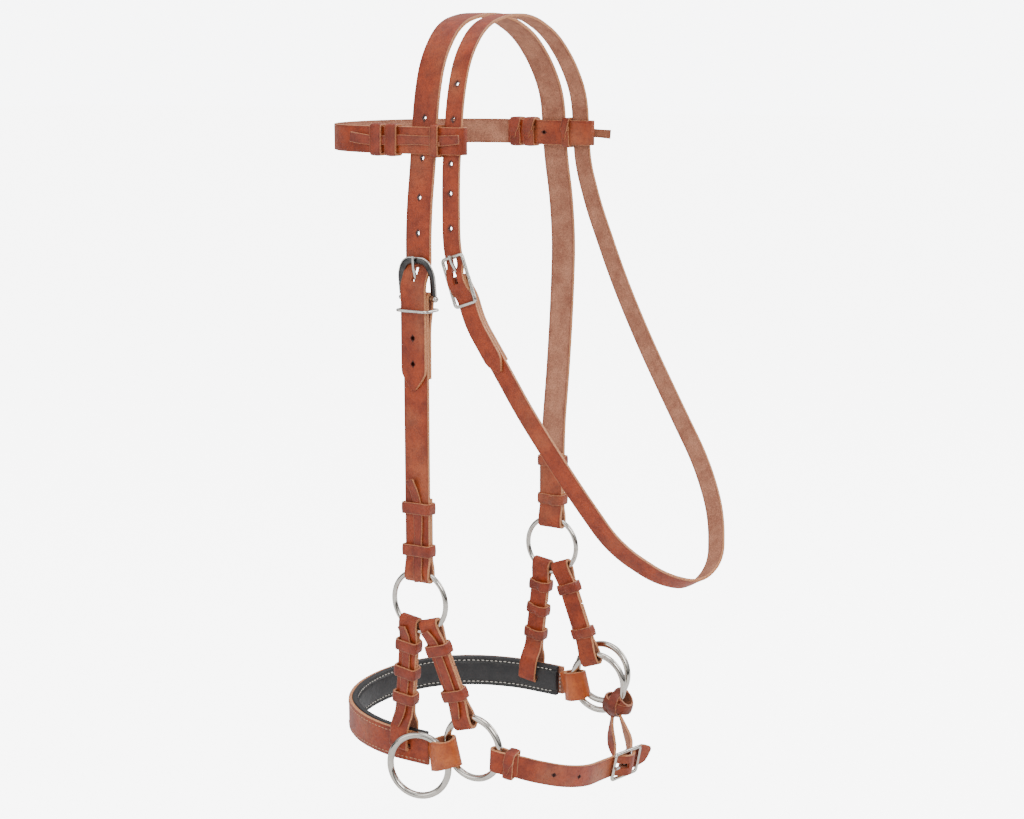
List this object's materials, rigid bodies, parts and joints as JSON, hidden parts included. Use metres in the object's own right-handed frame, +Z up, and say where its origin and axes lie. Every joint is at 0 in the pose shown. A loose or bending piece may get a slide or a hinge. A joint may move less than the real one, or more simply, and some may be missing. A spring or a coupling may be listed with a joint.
{
  "type": "bitless hackamore",
  "caption": "Side-pull bitless bridle for a horse: crown and cheek straps, browband, throat strap, padded leather noseband on strut straps, loose rings and a buckled chin strap.",
  "frame": {"origin": "the poll: middle of the crown strap's underside where it crosses the horse's head", "axes": "+Z up, -Y towards the horse's nose, +X towards the horse's near (left) side"},
  "size_m": [0.2314, 0.3251, 0.6381],
  "materials": {
    "bridle_leather": "reddish tan bridle leather, satin",
    "band_leather": "darker tan latigo bands, laces and knot, satin",
    "lining": "black padded lining, soft matte grain",
    "ring_nickel": "polished nickel",
    "buckle_steel": "polished nickel-plated steel, lightly worn",
    "buckle_dark": "antiqued dark face with a polished rim"
  },
  "bodies": {
    "headstall": {"crown_strap": "bridle_leather", "near_cheek_strap": "bridle_leather", "throat_strap": "bridle_leather", "near_cheek_bands": "band_leather", "off_cheek_bands": "band_leather", "near_cheek_lace": "band_leather", "off_cheek_lace": "band_leather", "cheek_buckle_frame": "buckle_dark", "cheek_buckle_bar": "buckle_steel", "throat_buckle_frame": "buckle_steel"},
    "brow": {"browband": "bridle_leather", "near_brow_bands": "band_leather", "off_brow_bands": "band_leather", "near_brow_lace": "band_leather", "off_brow_lace": "band_leather"},
    "nose": {"noseband_face": "bridle_leather", "noseband_padding": "lining", "near_front_strut": "bridle_leather", "near_rear_strut": "bridle_leather", "off_front_strut": "bridle_leather", "off_rear_strut": "bridle_leather", "near_front_strut_bands": "band_leather", "near_front_strut_lace": "band_leather", "near_rear_strut_bands": "band_leather", "near_rear_strut_lace": "band_leather", "off_front_strut_bands": "band_leather", "off_front_strut_lace": "band_leather", "off_rear_strut_bands": "band_leather", "off_rear_strut_lace": "band_leather", "chin_strap": "bridle_leather", "chin_chape": "bridle_leather", "chin_tail": "bridle_leather", "chin_knot": "band_leather", "chin_keeper": "band_leather", "chin_buckle_frame": "buckle_steel"},
    "near_upper_ring_body": {"near_upper_ring": "ring_nickel"},
    "off_upper_ring_body": {"off_upper_ring": "ring_nickel"},
    "near_rein_ring_body": {"near_rein_ring": "ring_nickel"},
    "near_connecting_ring_body": {"near_connecting_ring": "ring_nickel"},
    "off_rein_ring_body": {"off_rein_ring": "ring_nickel"},
    "off_connecting_ring_body": {"off_connecting_ring": "ring_nickel"},
    "cheek_tongue_body": {"cheek_buckle_tongue": "buckle_steel"},
    "throat_tongue_body": {"throat_buckle_tongue": "buckle_steel"},
    "chin_tongue_body": {"chin_buckle_tongue": "buckle_steel"},
    "cheek_keeper_body": {"cheek_keeper": "buckle_steel"}
  },
  "joints": [
    {"name": "noseband_swing", "type": "hinge", "parent": "headstall", "child": "nose", "pos_m": [0, 0, -0.45], "axis": [1, 0, 0], "range_deg": [-12, 12]},
    {"name": "browband_slide", "type": "slide", "parent": "headstall", "child": "brow", "axis": [0, 0, 1], "range_m": [-0.004, 0.004]},
    {"name": "near_upper_ring_spin", "type": "hinge", "parent": "headstall", "child": "near_upper_ring_body", "pos_m": [0.108, 0, -0.45], "axis": [1, 0, 0], "continuous": true},
    {"name": "off_upper_ring_spin", "type": "hinge", "parent": "headstall", "child": "off_upper_ring_body", "pos_m": [-0.095, 0, -0.45], "axis": [1, 0, 0], "continuous": true},
    {"name": "near_rein_ring_spin", "type": "hinge", "parent": "nose", "child": "near_rein_ring_body", "pos_m": [0.1076, -0.0025, -0.587], "axis": [0.9755, 0.2146, 0.0488], "continuous": true},
    {"name": "near_connecting_ring_spin", "type": "hinge", "parent": "nose", "child": "near_connecting_ring_body", "pos_m": [0.096, 0.0415, -0.567], "axis": [1, 0, 0], "continuous": true},
    {"name": "off_rein_ring_spin", "type": "hinge", "parent": "nose", "child": "off_rein_ring_body", "pos_m": [-0.1048, 0.0465, -0.5615], "axis": [0.9903, 0, 0.1386], "continuous": true},
    {"name": "off_connecting_ring_spin", "type": "hinge", "parent": "nose", "child": "off_connecting_ring_body", "pos_m": [-0.0956, 0.0475, -0.568], "axis": [1, 0, 0], "continuous": true},
    {"name": "cheek_tongue_lift", "type": "hinge", "parent": "headstall", "child": "cheek_tongue_body", "pos_m": [0.106, 0, -0.21], "axis": [0, 1, 0], "range_deg": [0, 9]},
    {"name": "throat_tongue_lift", "type": "hinge", "parent": "headstall", "child": "throat_tongue_body", "pos_m": [0.1012, 0.035, -0.195], "axis": [0, 0.944, 0.33], "range_deg": [0, 25]},
    {"name": "chin_tongue_lift", "type": "hinge", "parent": "nose", "child": "chin_tongue_body", "pos_m": [-0.04267, 0.10273, -0.61275], "axis": [-0.0777, 0.1478, 0.986], "range_deg": [0, 25]},
    {"name": "cheek_keeper_slide", "type": "slide", "parent": "headstall", "child": "cheek_keeper_body", "axis": [0, 0, -1], "range_m": [0, 0.02]}
  ]
}
